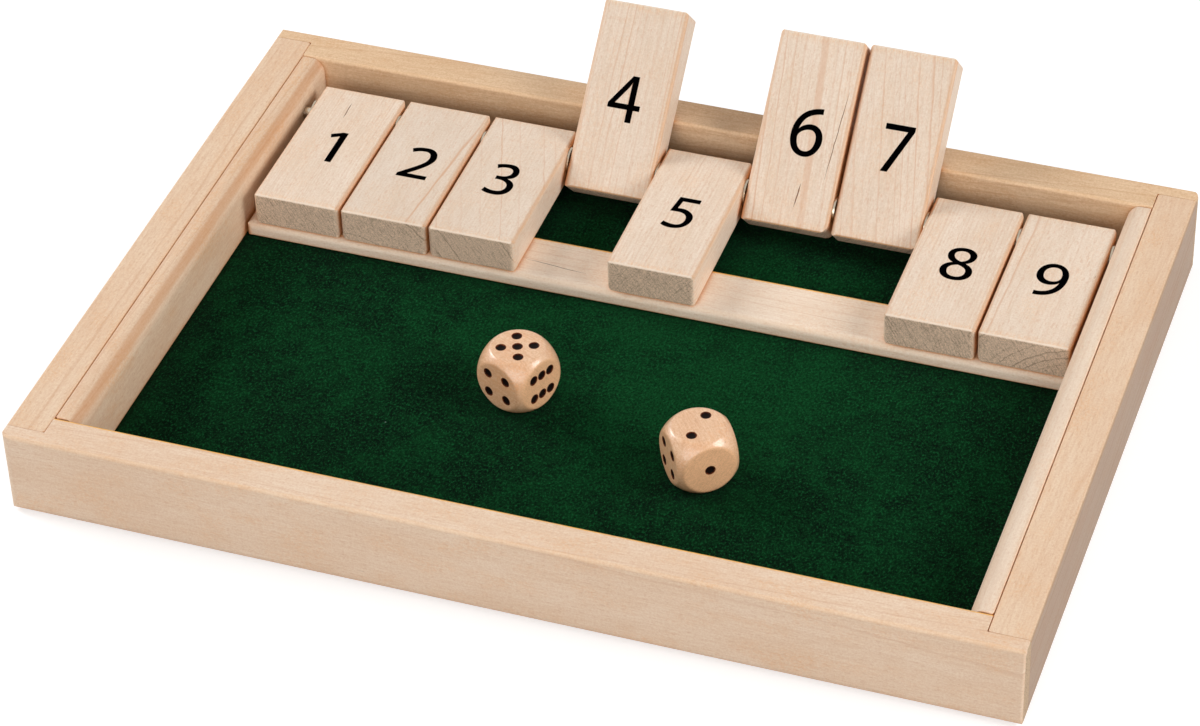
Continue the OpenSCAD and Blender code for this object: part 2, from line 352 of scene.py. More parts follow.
class Shading:
    """Adds nodes to one tree. A value is a number, a tuple or another node's socket."""

    def __init__(self, tree):
        self.tree = tree

    def feed(self, socket, value):
        if isinstance(value, bpy.types.NodeSocket):
            self.tree.links.new(value, socket)
        else:
            socket.default_value = value

    def node(self, kind, values=(), **settings):
        made = self.tree.nodes.new("ShaderNode" + kind)
        for name, setting in settings.items():
            setattr(made, name, setting)
        for key, value in dict(values).items():
            self.feed(made.inputs[key], value)
        return made

    def math(self, operation, *values):
        return self.node("Math", enumerate(values), operation=operation).outputs[0]

    def plus(self, first, second):
        return self.math("ADD", first, second)

    def minus(self, first, second):
        return self.math("SUBTRACT", first, second)

    def times(self, first, second):
        return self.math("MULTIPLY", first, second)

    def over(self, first, second):
        return self.math("DIVIDE", first, second)

    def larger(self, first, second):
        return self.math("MAXIMUM", first, second)

    def vector(self, operation, *values):
        return self.node("VectorMath", enumerate(values), operation=operation).outputs["Vector"]

    def scaled(self, vector, factor):
        values = {0: vector, "Scale": factor}
        return self.node("VectorMath", values, operation="SCALE").outputs["Vector"]

    def dot(self, first, second):
        values = {0: first, 1: second}
        return self.node("VectorMath", values, operation="DOT_PRODUCT").outputs["Value"]

    def length(self, vector):
        return self.node("VectorMath", {0: vector}, operation="LENGTH").outputs["Value"]

    def parts(self, vector):
        return self.node("SeparateXYZ", {0: vector}).outputs

    def join(self, x, y, z):
        return self.node("CombineXYZ", {0: x, 1: y, 2: z}).outputs[0]

    def noise(self, place, scale, detail=2.0, roughness=0.5):
        values = {"Vector": place, "Scale": scale, "Detail": detail, "Roughness": roughness}
        return self.node("TexNoise", values).outputs["Fac"]

    def streaks(self, place, across, along, detail=2.0, roughness=0.5):
        """Noise that is drawn out along the grain."""
        stretched = self.vector("MULTIPLY", place, (across, along, across))
        return self.noise(stretched, 1.0, detail, roughness)

    def openness(self, reach):
        """How open a point lies: 1 on a free face, 0 deep in a gap narrower than the reach."""
        return self.node("AmbientOcclusion", {"Distance": reach}, samples=4).outputs["AO"]

    def step(self, value, low, high, start=0.0, end=1.0):
        """Goes smoothly from start to end while the value goes from low to high."""
        values = {"Value": value, "From Min": low, "From Max": high, "To Min": start, "To Max": end}
        return self.node("MapRange", values, interpolation_type="SMOOTHSTEP").outputs["Result"]

    def mix(self, factor, first, second, blend="MIX"):
        values = {0: factor, 6: first, 7: second}
        return self.node("Mix", values, data_type="RGBA", blend_type=blend).outputs[2]

    def bump(self, height, strength, depth):
        """A surface normal that follows heights of 0 to 1, where 1 is this depth in millimetres."""
        values = {"Height": height, "Strength": strength, "Distance": depth * MM}
        return self.node("Bump", values).outputs[0]

    def within(self, group, entry):
        """The outputs of a group that is fed by a larger group's inputs of the same names."""
        sockets = [item for item in group.interface.items_tree if item.in_out == "INPUT"]
        values = {socket.name: entry[socket.name] for socket in sockets}
        return self.node("Group", values, node_tree=group).outputs


def new_group(name, inputs, outputs):
    """A shader node group with its sockets, and what is needed to fill it."""
    tree = bpy.data.node_groups.new(name, "ShaderNodeTree")
    for label, kind in inputs:
        tree.interface.new_socket(label, in_out="INPUT", socket_type="NodeSocket" + kind)
    for label, kind in outputs:
        tree.interface.new_socket(label, in_out="OUTPUT", socket_type="NodeSocket" + kind)
    entry = tree.nodes.new("NodeGroupInput").outputs
    leave = tree.nodes.new("NodeGroupOutput").inputs
    return tree, Shading(tree), entry, leave


def bent_radius(draw, radius, place, waver):
    """A distance from the pith that wavers along the grain and ripples closely."""
    slow = draw.noise(draw.vector("MULTIPLY", place, (0.045, 0.011, 0.045)), 1.0, 1.0)
    fine = draw.noise(draw.vector("MULTIPLY", place, (0.5, 0.06, 0.5)), 1.0, 2.0)
    wavering = draw.plus(radius, draw.times(draw.minus(slow, 0.5), waver))
    return draw.plus(wavering, draw.times(draw.minus(fine, 0.5), 0.9))


def line_strength(draw, place, year, ring_width):
    """How strongly a ring's line shows: by patches and by years, and less where rings are fine."""
    vigour = draw.node("TexWhiteNoise", {"W": year}, noise_dimensions="1D").outputs["Value"]
    patch = draw.noise(draw.vector("MULTIPLY", place, (0.12, 0.03, 0.12)), 1.0, 2.0)
    strength = draw.times(draw.step(patch, 0.3, 0.65, 0.5), draw.step(vigour, 0.1, 0.9, 0.3))
    return draw.times(strength, draw.step(ring_width, 0.8, 3.5, 0.35, 1.0))


def growth_ring_group():
    """Annual rings about a pith: a mask of their fine dark lines, and one of their late wood."""
    inputs = [("Place", "Vector"), ("Normal", "Vector"), ("Pith", "Vector"), ("Lean", "Vector")]
    inputs += [("Ring Width", "Float"), ("Waver", "Float"), ("Seed", "Float")]
    outputs = [("Line", "Float"), ("Late Wood", "Float")]
    tree, draw, entry, leave = new_group("growth_rings", inputs, outputs)
    along = draw.parts(entry["Place"])[1]
    pith = draw.vector("ADD", entry["Pith"], draw.scaled(entry["Lean"], along))
    from_pith = draw.vector("SUBTRACT", entry["Place"], pith)
    outward = draw.vector("MULTIPLY", from_pith, (1, 0, 1))
    moved = draw.vector("ADD", entry["Place"], draw.scaled((17, 31, 23), entry["Seed"]))
    radius = bent_radius(draw, draw.length(outward), moved, entry["Waver"])
    growth = draw.noise(draw.join(radius, entry["Seed"], 0.0), 0.17, 1.0)
    phase = draw.over(radius, entry["Ring Width"])
    phase = draw.plus(phase, draw.times(draw.minus(growth, 0.5), 2.5))
    share = draw.math("FRACT", phase)
    thin = draw.minus(0.93, draw.over(0.5, entry["Ring Width"]))
    rise = draw.step(share, draw.larger(thin, 0.35), 0.93)
    fall = draw.step(share, 0.94, 1.0, 1.0, 0.0)
    year = draw.plus(draw.math("FLOOR", phase), entry["Seed"])
    strength = line_strength(draw, moved, year, entry["Ring Width"])
    line = draw.times(draw.times(rise, fall), strength)
    # Lines spread out and fade where the surface lies flat on the rings
    flat = draw.math("ABSOLUTE", draw.dot(draw.vector("NORMALIZE", outward), entry["Normal"]))
    draw.feed(leave["Line"], draw.times(line, draw.step(flat, 0.8, 0.97, 1.0, 0.15)))
    draw.feed(leave["Late Wood"], draw.times(draw.step(share, 0.1, 0.95), fall))
    return tree


def edge_mask_group():
    """Masks of a board's eased edges, where glow and highlight are painted: its long edges, its
    ends' edges, and near both.
    """
    inputs = [("Place", "Vector"), ("Normal", "Vector"), ("Half Size", "Vector")]
    inputs += [("left_arris", "Float"), ("right_arris", "Float"), ("end_arris", "Float")]
    outputs = [("Arris", "Float"), ("End Arris", "Float"), ("End Face", "Float")]
    outputs += [("Near Edge", "Float"), ("Near End", "Float")]
    tree, draw, entry, leave = new_group("edge_masks", inputs, outputs)
    across, along, up = draw.parts(draw.vector("ABSOLUTE", entry["Normal"]))[0:3]
    depths = draw.vector("SUBTRACT", entry["Half Size"], draw.vector("ABSOLUTE", entry["Place"]))
    from_side, from_end, from_face = draw.parts(depths)[0:3]
    from_edge = draw.plus(from_side, from_face)

    is_right = draw.math("GREATER_THAN", draw.parts(entry["Place"])[0], 0.0)
    more = draw.minus(entry["right_arris"], entry["left_arris"])
    side = draw.plus(entry["left_arris"], draw.times(more, is_right))
    long_round = draw.step(draw.times(draw.times(across, up), 2.0), 0.7, 1.0)
    crisp = draw.step(from_edge, 0.75, 1.15, 1.0, 0.0)
    near_edge = draw.step(from_edge, 0.5, 2.8, 1.0, 0.0)
    draw.feed(leave["Arris"], draw.times(draw.larger(long_round, crisp), side))
    draw.feed(leave["Near Edge"], draw.times(near_edge, side))

    facing = draw.plus(up, draw.times(across, 0.4))
    end_round = draw.step(draw.times(draw.times(along, facing), 2.0), 0.6, 0.95)
    near_end = draw.step(from_end, 0.5, 3.6, 1.0, 0.0)
    draw.feed(leave["End Arris"], draw.times(end_round, entry["end_arris"]))
    draw.feed(leave["Near End"], draw.times(near_end, entry["end_arris"]))

    in_corner = [draw.minus(END_CORNER, depth) for depth in (from_side, from_face)]
    in_corner = [draw.larger(depth, 0.0) for depth in in_corner]
    inside = draw.minus(END_CORNER, draw.length(draw.join(*in_corner, 0.0)))
    end_face = draw.times(draw.step(along, 0.6, 0.92), draw.step(inside, 0.1, 0.5))
    draw.feed(leave["End Face"], end_face)
    return tree


def crack_group():
    """A hairline crack between two points, which wanders a little and runs out at its ends."""
    inputs = [("Place", "Vector"), ("Start", "Vector"), ("End", "Vector"), ("Half Width", "Float")]
    tree, draw, entry, leave = new_group("hairline_crack", inputs, [("Crack", "Float")])
    drift = draw.times(draw.minus(draw.noise(entry["Place"], 0.25, 3.0), 0.5), 0.5)
    reach = draw.vector("SUBTRACT", entry["Place"], entry["Start"])
    reach = draw.vector("ADD", reach, draw.join(drift, 0.0, 0.0))
    run = draw.vector("SUBTRACT", entry["End"], entry["Start"])
    share = draw.over(draw.dot(reach, run), draw.dot(run, run))
    share = draw.node("Clamp", {"Value": share}).outputs[0]
    away = draw.length(draw.vector("SUBTRACT", reach, draw.scaled(run, share)))
    from_end = draw.minus(0.5, draw.math("ABSOLUTE", draw.minus(share, 0.5)))
    width = draw.times(draw.step(from_end, 0.0, 0.3, 0.25, 1.0), entry["Half Width"])
    draw.feed(leave["Crack"], draw.step(draw.over(away, width), 0.5, 1.5, 1.0, 0.0))
    return tree


def clean_face(draw, entry, place, fibre, late):
    """Clean wood along the grain: paler and deeper by broad bands, fibres and pepper."""
    tone = draw.step(draw.streaks(place, 0.08, 0.02, 3.0), 0.3, 0.7)
    pepper = draw.noise(place, 1.6, 3.0, 0.8)
    depth = draw.plus(draw.times(tone, 0.35), draw.step(fibre, 0.36, 0.66, 0.0, 0.5))
    depth = draw.plus(depth, draw.step(pepper, 0.36, 0.64, -0.15, 0.45))
    face = draw.mix(depth, entry["pale"], entry["deep"])
    return draw.mix(draw.times(late, 0.12), face, entry["deep"])


def marked_face(draw, entry, place, face, clouds, line, edge):
    """A face with the blush of its clouds and edges, its ring lines, its ticks and its flecks."""
    grit = draw.step(draw.streaks(place, 1.7, 0.9, 3.0, 0.75), 0.38, 0.66)
    tick = draw.step(draw.streaks(place, 2.2, 0.5), 0.55, 0.72)
    fleck = draw.step(draw.streaks(place, 0.9, 0.12), 0.775, 0.82)
    blush = draw.times(clouds, entry["blushing"])
    blush = draw.larger(blush, draw.times(edge["Near End"], 0.9))
    # Near the long edges the blush is a painted glow, as along the arrises
    blush = draw.larger(blush, draw.times(edge["Near Edge"], 0.6))
    face = draw.mix(draw.times(blush, grit), face, entry["blush"])
    face = draw.mix(draw.times(line, entry["lines"]), face, entry["line"])
    face = draw.mix(draw.times(tick, 0.35), face, entry["line"])
    return draw.mix(draw.times(fleck, 0.4), face, linear(FLECK_COLOR))


def saw_marks(draw, place, lean):
    """Marks of a saw that went across an end at a slant."""
    down = draw.dot(place, (-0.12 * lean, 0, 0.2))
    return draw.noise(draw.join(draw.dot(place, (1.8, 0, lean)), down, 0.0), 1.0, 2.0, 0.6)


def end_grain(draw, entry, place, clouds, line):
    """The colour and the height of sawn end grain, with its pores and its saw marks."""
    pores = draw.noise(place, 3.0, 4.0, 0.8)
    cross = draw.times(saw_marks(draw, place, -1.3), draw.step(clouds, 0.2, 0.8, 0.7, 1.0))
    cuts = draw.larger(saw_marks(draw, place, 1.3), cross)
    cut = draw.step(cuts, 0.48, 0.68, 0.0, 0.35)
    dark = draw.plus(draw.step(pores, 0.4, 0.6, 0.0, 0.6), cut)
    dark = draw.plus(dark, draw.times(line, entry["lines"]))
    shade = draw.mix(1.0, entry["end"], END_GRAIN_SHADE, "MULTIPLY")
    color = draw.mix(draw.times(dark, entry["end_marks"]), entry["end"], shade)
    return color, draw.plus(pores, cuts)


def sawn_wood_group(rings, edges):
    """Sawn and sanded wood: its colour, the height of its grain for a bump, and its end grain."""
    inputs = [("Place", "Vector"), ("Normal", "Vector"), ("Half Size", "Vector")]
    inputs += [("Pith", "Vector"), ("Lean", "Vector"), ("Ring Width", "Float")]
    inputs += [("Waver", "Float"), ("Seed", "Float")]
    inputs += [(name, "Float") for name in FINISH_SHARES]
    inputs += [(name, "Color") for name in FINISH_COLORS]
    outputs = [("Color", "Color"), ("Height", "Float"), ("End Grain", "Float")]
    tree, draw, entry, leave = new_group("sawn_wood", inputs, outputs)
    ring = draw.within(rings, entry)
    edge = draw.within(edges, entry)
    line = ring["Line"]
    moved = draw.vector("ADD", entry["Place"], draw.scaled((29, 13, 41), entry["Seed"]))
    fibre = draw.streaks(moved, 1.6, 0.1, 4.0, 0.75)
    clouds = draw.step(draw.streaks(moved, 0.13, 0.05, 3.0), 0.4, 0.7)
    face = clean_face(draw, entry, moved, fibre, ring["Late Wood"])
    face = marked_face(draw, entry, moved, face, clouds, line, edge)
    end, end_height = end_grain(draw, entry, moved, clouds, line)
    color = draw.mix(edge["End Face"], face, end)

    # Painted shade: the faces that look to the board's right are darkened
    right = draw.step(draw.parts(entry["Normal"])[0], 0.5, 0.95)
    painted_side_shade = draw.times(right, entry["painted_right_shade"])
    color = draw.mix(painted_side_shade, color, RIGHT_SIDE_PAINTED_SHADE, "MULTIPLY")
    # Painted glow: the long edges take an orange band, for light that passes through the thin eased
    # wood
    painted_edge_glow = draw.times(edge["Arris"], draw.step(fibre, 0.36, 0.64, 1.0, 0.6))
    color = draw.mix(painted_edge_glow, color, entry["arris"])
    # Painted highlight: the edge across the near end is painted pale, as if lit; across the far end
    # it takes the arris colour
    far_end = draw.math("GREATER_THAN", draw.parts(entry["Place"])[1], 0.0)
    wear_and_painted_highlight = draw.mix(far_end, entry["wear_and_painted_highlight"], entry["arris"])
    draw.feed(leave["Color"], draw.mix(edge["End Arris"], color, wear_and_painted_highlight))

    height = draw.plus(fibre, draw.times(line, -0.4))
    height = draw.plus(height, draw.times(end_height, edge["End Face"]))
    draw.feed(leave["Height"], height)
    draw.feed(leave["End Grain"], edge["End Face"])
    return tree


def new_material(name):
    """A material with an empty tree, its Shading, and its Principled shader."""
    material = bpy.data.materials.new(name)
    material.use_nodes = True
    draw = Shading(material.node_tree)
    return material, draw, material.node_tree.nodes["Principled BSDF"].inputs


def piece_place(draw, middle, turn):
    """Millimetres from a piece's middle along its own axes, and its own surface normal."""
    coordinates = draw.node("TexCoord").outputs
    values = {"Location": Vector(middle) * MM, "Rotation": turn, "Scale": (MM, MM, MM)}
    place = draw.node("Mapping", {"Vector": coordinates["Object"], **values}, vector_type="TEXTURE")
    back = turn.to_matrix().transposed().to_euler()
    values = {"Vector": coordinates["Normal"], "Rotation": back}
    normal = draw.node("Mapping", values, vector_type="NORMAL")
    return place.outputs[0], normal.outputs[0]


def cracked(draw, groups, name, place, color, height):
    """A piece's colour and height with its hairline cracks, if it has any."""
    for start, end, half_width in CRACKS.get(name, ()):
        values = {"Place": place, "Start": start, "End": end, "Half Width": half_width}
        crack = draw.node("Group", values, node_tree=groups["crack"]).outputs[0]
        color = draw.mix(crack, color, linear(CRACK_COLOR))
        height = draw.minus(height, crack)
    return color, height


def wood(name, groups, finish, middle, size, turn, tree, seed, waver=5.0, roughness=0.5, coat=0.0):
    """Sawn wood of one piece, whose rings come from its own place in its tree."""
    material, draw, shader = new_material(name + "_wood")
    place, normal = piece_place(draw, middle, turn)
    pith, lean, ring_width = tree
    values = {
        "Place": place,
        "Normal": normal,
        "Half Size": Vector(size) / 2,
        "Pith": (pith[0], 0, pith[1]),
        "Lean": (lean[0], 0, lean[1]),
        "Ring Width": ring_width,
        "Waver": waver,
        "Seed": seed,
    }
    values |= {key: finish[key] for key in FINISH_SHARES}
    values |= {key: linear(finish[key]) for key in FINISH_COLORS}
    grain = draw.node("Group", values, node_tree=groups["sawn wood"]).outputs
    color, height = cracked(draw, groups, name, place, grain["Color"], grain["Height"])
    # Painted shade: the colour darkens and warms in gaps and where pieces meet
    painted_shade = draw.step(draw.openness(CRANNY_REACH * MM), 0.1, 0.85, 1.0, 0.0)
    color = draw.mix(painted_shade, color, linear(PAINTED_CRANNY_SHADE), "MULTIPLY")
    dull = draw.step(height, 0.2, 0.8, roughness + 0.08, roughness - 0.06)
    draw.feed(shader["Base Color"], color)
    draw.feed(shader["Roughness"], draw.plus(dull, draw.times(grain["End Grain"], 0.25)))
    draw.feed(shader["Normal"], draw.bump(height, 0.3, 0.1))
    shader["Specular IOR Level"].default_value = 0.35
    shader["Coat Weight"].default_value = coat
    shader["Coat Roughness"].default_value = 0.24
    return material


def toned(finish, tone):
    """A finish whose wood is lighter or darker by a share."""
    shades = {
        key: [min(value * tone, 255) for value in finish[key]]
        for key in ("pale", "deep", "blush")
    }
    return finish | shades


def euler(degrees):
    """A turn given in degrees about X, Y and Z."""
    return Euler([math.radians(angle) for angle in degrees])


def paint_node(node, material):
    """Gives a node of the frame this one material."""
    node.data.materials.clear()
    node.data.materials.append(material)


def tile_hinge(number):
    """The point on the rod at the middle of a tile's width."""
    return Vector((FIRST_TILE_MIDDLE + (number - 1) * TILE_PITCH, ROD.y, ROD.z))


def tile_turn(number):
    """How far a tile is turned about the rod at rest."""
    return euler((RAISED_TURN if number in RAISED else 0, 0, 0))


def finish_boards(nodes, groups):
    """Each board of the tray in its own cut of its wood."""
    for seed, (name, (turn, *tree, finish)) in enumerate(BOARDS.items()):
        low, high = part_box(name)
        size = (high - low) / MM
        if turn == ALONG_X:
            size = (size.y, size.x, size.z)
        middle = (low + high) / 2 / MM
        look = wood(name, groups, finish, middle, size, euler(turn), tree, seed + 1.0)
        paint_node(nodes[name], look)


def finish_tiles(nodes, groups):
    """Each tile in the wood of its own tree, in its own tone."""
    size = (TILE_WIDTH, TILE_LENGTH, TILE_THICKNESS)
    for number, tree in TILE_TREES.items():
        name, turn = f"tile_{number}", tile_turn(number)
        middle = tile_hinge(number) + turn.to_matrix() @ Vector((0, TILE_TAIL - TILE_LENGTH / 2, 0))
        finish = toned(TILE_FINISH, TILE_TONES[number - 1])
        look = wood(name, groups, finish, middle, size, turn, tree, number * 3.7, waver=2.0)
        paint_node(nodes[name], look)


def steel():
    """Bright drawn steel with faint turning marks."""
    material, draw, shader = new_material("bright_steel")
    place = draw.node("TexCoord").outputs["Object"]
    marks = draw.noise(draw.vector("MULTIPLY", place, (9000, 260, 260)), 1.0, 3.0, 0.7)
    smears = draw.noise(place, 300.0, 2.0)
    color = draw.mix(smears, linear(STEEL_BRIGHT), linear(STEEL_DULL))
    draw.feed(shader["Base Color"], color)
    draw.feed(shader["Roughness"], draw.step(smears, 0.3, 0.7, 0.16, 0.3))
    draw.feed(shader["Normal"], draw.bump(marks, 0.15, 0.02))
    shader["Metallic"].default_value = 1.0
    return material


def finish_steel(nodes):
    """The rod and the washers in one steel."""
    finish = steel()
    for name in ["hinge_rod"] + [f"washer_{i}" for i in range(WASHERS)]:
        paint_node(nodes[name], finish)


def nap_height(draw, place, tufts):
    """A share from the flat felt's colour to the raised nap's: in clouds, tufts and mottles, and
    higher about one spot of the felt and lower far from it.
    """
    clouds = draw.step(draw.noise(place, 0.06, 4.0, 0.65), 0.38, 0.62)
    mottle = draw.step(draw.noise(place, 1.3, 3.0, 0.6), 0.35, 0.65, -0.22, 0.22)
    nap = draw.plus(draw.plus(draw.times(clouds, 0.55), draw.times(tufts, 0.45)), mottle)
    # The felt is lighter about this spot and darker far from it
    away = draw.vector("SUBTRACT", place, FELT_PALE_SPOT)
    away = draw.length(draw.vector("MULTIPLY", away, (0.7, 1, 0)))
    return draw.plus(nap, draw.step(away, 10.0, 80.0, 0.35, -0.15))


def lint(draw, place):
    """A mask of a few specks of lint."""
    cells = draw.node("TexVoronoi", {"Vector": place, "Scale": 0.08, "Randomness": 1.0}).outputs
    chosen = draw.math("GREATER_THAN", draw.parts(cells["Color"])[0], 0.55)
    return draw.times(draw.step(cells["Distance"], 0.008, 0.022, 1.0, 0.0), chosen)


def felt_finish():
    """Deep green felt: a mottled nap over short, tangled fibres, with a few specks of pale lint."""
    material, draw, shader = new_material("green_felt")
    coordinates = draw.node("TexCoord").outputs["Object"]
    values = {"Vector": coordinates, "Scale": (MM,) * 3}
    place = draw.node("Mapping", values, vector_type="TEXTURE").outputs[0]
    tufts = draw.step(draw.noise(place, 0.3, 4.0, 0.65), 0.35, 0.7)
    fibres = draw.noise(draw.vector("MULTIPLY", place, (1.0, 0.7, 1.0)), 1.5, 5.0, 0.8)
    # Painted shade: the felt darkens where walls and pieces shut it in
    painted_shade = draw.step(draw.openness(FELT_SHADE_REACH * MM), 0.3, 0.95, 0.5, 0.0)
    shades = {name: linear(color) for name, color in FELT_COLORS.items()}
    color = draw.mix(nap_height(draw, place, tufts), shades["flat"], shades["raised"])
    color = draw.mix(draw.step(fibres, 0.5, 0.68), color, shades["fibre"])
    color = draw.mix(draw.step(fibres, 0.34, 0.5, 0.9, 0.0), color, shades["gap"])
    color = draw.mix(painted_shade, color, shades["painted shade"])
    color = draw.mix(draw.times(lint(draw, place), 0.6), color, shades["lint"])
    draw.feed(shader["Base Color"], color)
    draw.feed(shader["Roughness"], draw.step(fibres, 0.3, 0.7, 1.0, 0.9))
    draw.feed(shader["Normal"], draw.bump(draw.plus(draw.times(tufts, 1.2), fibres), 0.9, 0.35))
    shader["Specular IOR Level"].default_value = 0.02
    shader["Sheen Weight"].default_value = 0.03
    shader["Sheen Roughness"].default_value = 0.5
    shader["Sheen Tint"].default_value = shades["sheen"]
    return material


def new_piece(name, mesh, body):
    """A piece that moves with a body."""
    piece = bpy.data.objects.new(name, mesh)
    bpy.context.scene.collection.objects.link(piece)
    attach(piece, body)
    return piece


def mesh_from(form, name, smooth=False):
    """A mesh with the form's faces, flat or smooth."""
    mesh = bpy.data.meshes.new(name)
    form.to_mesh(mesh)
    form.free()
    mesh.polygons.foreach_set("use_smooth", [smooth] * len(mesh.polygons))
    return mesh


def felt_sheet():
    """The felt as cloth: a fine grid whose top dips and rises a little, with a closed underside."""
    flat = (FELT_SIZE[0] * MM, FELT_SIZE[1] * MM)
    form = bmesh.new()
    bmesh.ops.create_grid(form, x_segments=FELT_GRID[0], y_segments=FELT_GRID[1], size=0.5)
    bmesh.ops.scale(form, vec=(*flat, 1), verts=form.verts)
    for vertex in form.verts:
        swell = FELT_SWELL * noise.noise(vertex.co * 40)
        ripple = FELT_RIPPLE * noise.noise(vertex.co * 260 + Vector((5, 2, 9)))
        vertex.co.z = (FELT_TOP - FELT_SINK + swell + ripple) * MM
    rim = [edge for edge in form.edges if edge.is_boundary]
    skirt = bmesh.ops.extrude_edge_only(form, edges=rim)["geom"]
    low = [part for part in skirt if isinstance(part, bmesh.types.BMVert)]
    for vertex in low:
        vertex.co.z = FELT_UNDERSIDE * MM
    rim = [part for part in skirt if isinstance(part, bmesh.types.BMEdge) and part.is_boundary]
    bmesh.ops.edgeloop_fill(form, edges=rim)
    bmesh.ops.recalc_face_normals(form, faces=form.faces)
    cloth = mesh_from(form, "felt", True)
    cloth.materials.append(felt_finish())
    felt = new_piece("felt", cloth, "tray")
    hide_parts("felt_mat")


def draw_loop(curve, text):
    """One closed loop of pen moves, as a spline whose knots are (handle, point, handle)."""
    start, *moves = re.findall(r"[LC]?[-\d\s]+", text)
    point = tuple(int(value) for value in start.split())
    knots = [[point, point, point]]
    for move in moves:
        values = [int(value) for value in move[1:].split()]
        points = list(zip(values[0::2], values[1::2]))
        if len(points) == 3:
            knots[-1][2] = points[0]
        knots.append([points[-2] if len(points) == 3 else points[-1], points[-1], points[-1]])
    if knots[-1][1] == knots[0][1]:
        knots[0][0] = knots.pop()[0]
    spline = curve.splines.new("BEZIER")
    spline.bezier_points.add(len(knots) - 1)
    spline.use_cyclic_u = True
    for place, knot in zip(spline.bezier_points, knots):
        place.handle_left_type = place.handle_right_type = "FREE"
        before, at, after = [Vector((x, y, 0)) * 0.01 * MM for x, y in knot]
        place.co, place.handle_left, place.handle_right = at, before, after


def numeral_mesh(digit):
    """A numeral as a flat mesh that looks along +Z, with its baseline on the X axis."""
    curve = bpy.data.curves.new(f"outline_{digit}", "CURVE")
    curve.dimensions = "2D"
    curve.fill_mode = "BOTH"
    curve.resolution_u = 12
    curve.offset = INK_SPREAD * MM
    for loop in NUMERALS[digit].split("M")[1:]:
        draw_loop(curve, loop)
    outline = bpy.data.objects.new(f"outline_{digit}", curve)
    mesh = bpy.data.meshes.new_from_object(outline)
    bpy.data.objects.remove(outline)
    return mesh


def printed_ink():
    """Dull black print with a faint speckled relief."""
    material, draw, shader = new_material("black_ink")
    speckle = draw.noise(draw.node("TexCoord").outputs["Object"], 5200.0, 3.0, 0.6)
    wear_and_painted_highlight = draw.step(speckle, 0.55, 0.8)
    color = draw.mix(wear_and_painted_highlight, linear(INK_COLOR), linear(INK_WORN_COLOR))
    draw.feed(shader["Base Color"], color)
    draw.feed(shader["Roughness"], draw.step(speckle, 0.3, 0.7, 0.6, 0.75))
    draw.feed(shader["Normal"], draw.bump(speckle, 0.2, 0.03))
    shader["Specular IOR Level"].default_value = 0.0
    return material


def number_pair(number):
    """A tile's number on its upper face, and turned over on its underside, about its hinge."""
    across, towards_top = PRINT_OFFSETS[number]
    proud = TILE_THICKNESS / 2 + INK_STANDS_PROUD
    upper = Vector((across, towards_top - UPPER_BASELINE, proud)) * MM
    under = Vector((across, -UNDER_BASELINE - towards_top, -proud)) * MM
    stretched = Matrix.Diagonal((1, UPPER_STRETCH, 1, 1))
    turned = Matrix.Rotation(math.pi, 4, "X") @ Matrix.Diagonal((1, UNDER_STRETCH, 1, 1))
    numeral = numeral_mesh(number)
    form = bmesh.new()
    for place in (Matrix.Translation(upper) @ stretched, Matrix.Translation(under) @ turned):
        first = len(form.verts)
        form.from_mesh(numeral)
        form.verts.ensure_lookup_table()
        bmesh.ops.transform(form, matrix=place, verts=form.verts[first:])
    return form


def print_numbers():
    """The numbers on both faces of each tile, as print that turns with the tile."""
    ink = printed_ink()
    for number in PRINT_OFFSETS:
        form = number_pair(number)
        tile = Matrix.Translation(tile_hinge(number) * MM) @ tile_turn(number).to_matrix().to_4x4()
        bmesh.ops.transform(form, matrix=tile, verts=form.verts)
        name = f"number_{number}"
        printed = mesh_from(form, name)
        printed.materials.append(ink)
        new_piece(name, printed, f"tile_{number}")


def pip_paint():
    """Burnt brown paint in the pips, redder towards its rim."""
    material, draw, shader = new_material("pip_paint")
    place = draw.node("TexCoord").outputs
    streaks = draw.noise(place["Object"], 2400.0, 3.0)
    outward = draw.plus(draw.length(place["UV"]), draw.step(streaks, 0.3, 0.7, -0.1, 0.1))
    color = draw.mix(draw.step(outward, 0.72, 1.0), linear(PIP_COLOR), linear(PIP_RIM_COLOR))
    draw.feed(shader["Base Color"], color)
    draw.feed(shader["Roughness"], draw.step(streaks, 0.3, 0.7, 0.5, 0.65))
    draw.feed(shader["Normal"], draw.bump(streaks, 0.2, 0.05))
    shader["Specular IOR Level"].default_value = 0.05
    return material


def pip_spots(count):
    """Places of the pips on a face, in steps of the pitch."""
    spots = [(0, 0)] if count % 2 else []
    if count >= 2:
        spots += [(-1, 1), (1, -1)]
    if count >= 4:
        spots += [(-1, -1), (1, 1)]
    if count == 6:
        spots += [(0, -1), (0, 1)]
    return spots


def pip_places():
    """A transform for each pip of a die, from the middle of a face's own pip to its place."""
    for count, face in DIE_FACES.items():
        for x, y in pip_spots(count):
            spot = Vector((x * PIP_PITCH, y * PIP_PITCH, DIE_WIDTH / 2)) * MM
            yield euler(face).to_matrix().to_4x4() @ Matrix.Translation(spot)


def pip_drill():
    """The balls that cut a die's pips, whose map counts from the middle of a pip to its rim."""
    form = bmesh.new()
    layer = form.loops.layers.uv.new("pip")
    around, down = PIP_SEGMENTS
    for place in pip_places():
        ball = bmesh.ops.create_uvsphere(
            form, u_segments=around, v_segments=down, radius=PIP_BALL * MM,
        )["verts"]
        bmesh.ops.translate(form, vec=(0, 0, (PIP_BALL - PIP_DEPTH) * MM), verts=ball)
        for face in {face for vertex in ball for face in vertex.link_faces}:
            for loop in face.loops:
                loop[layer].uv = loop.vert.co.xy / (PIP_WIDTH / 2 * MM)
        bmesh.ops.transform(form, matrix=place, verts=ball)
    return mesh_from(form, "pip_drill", True)


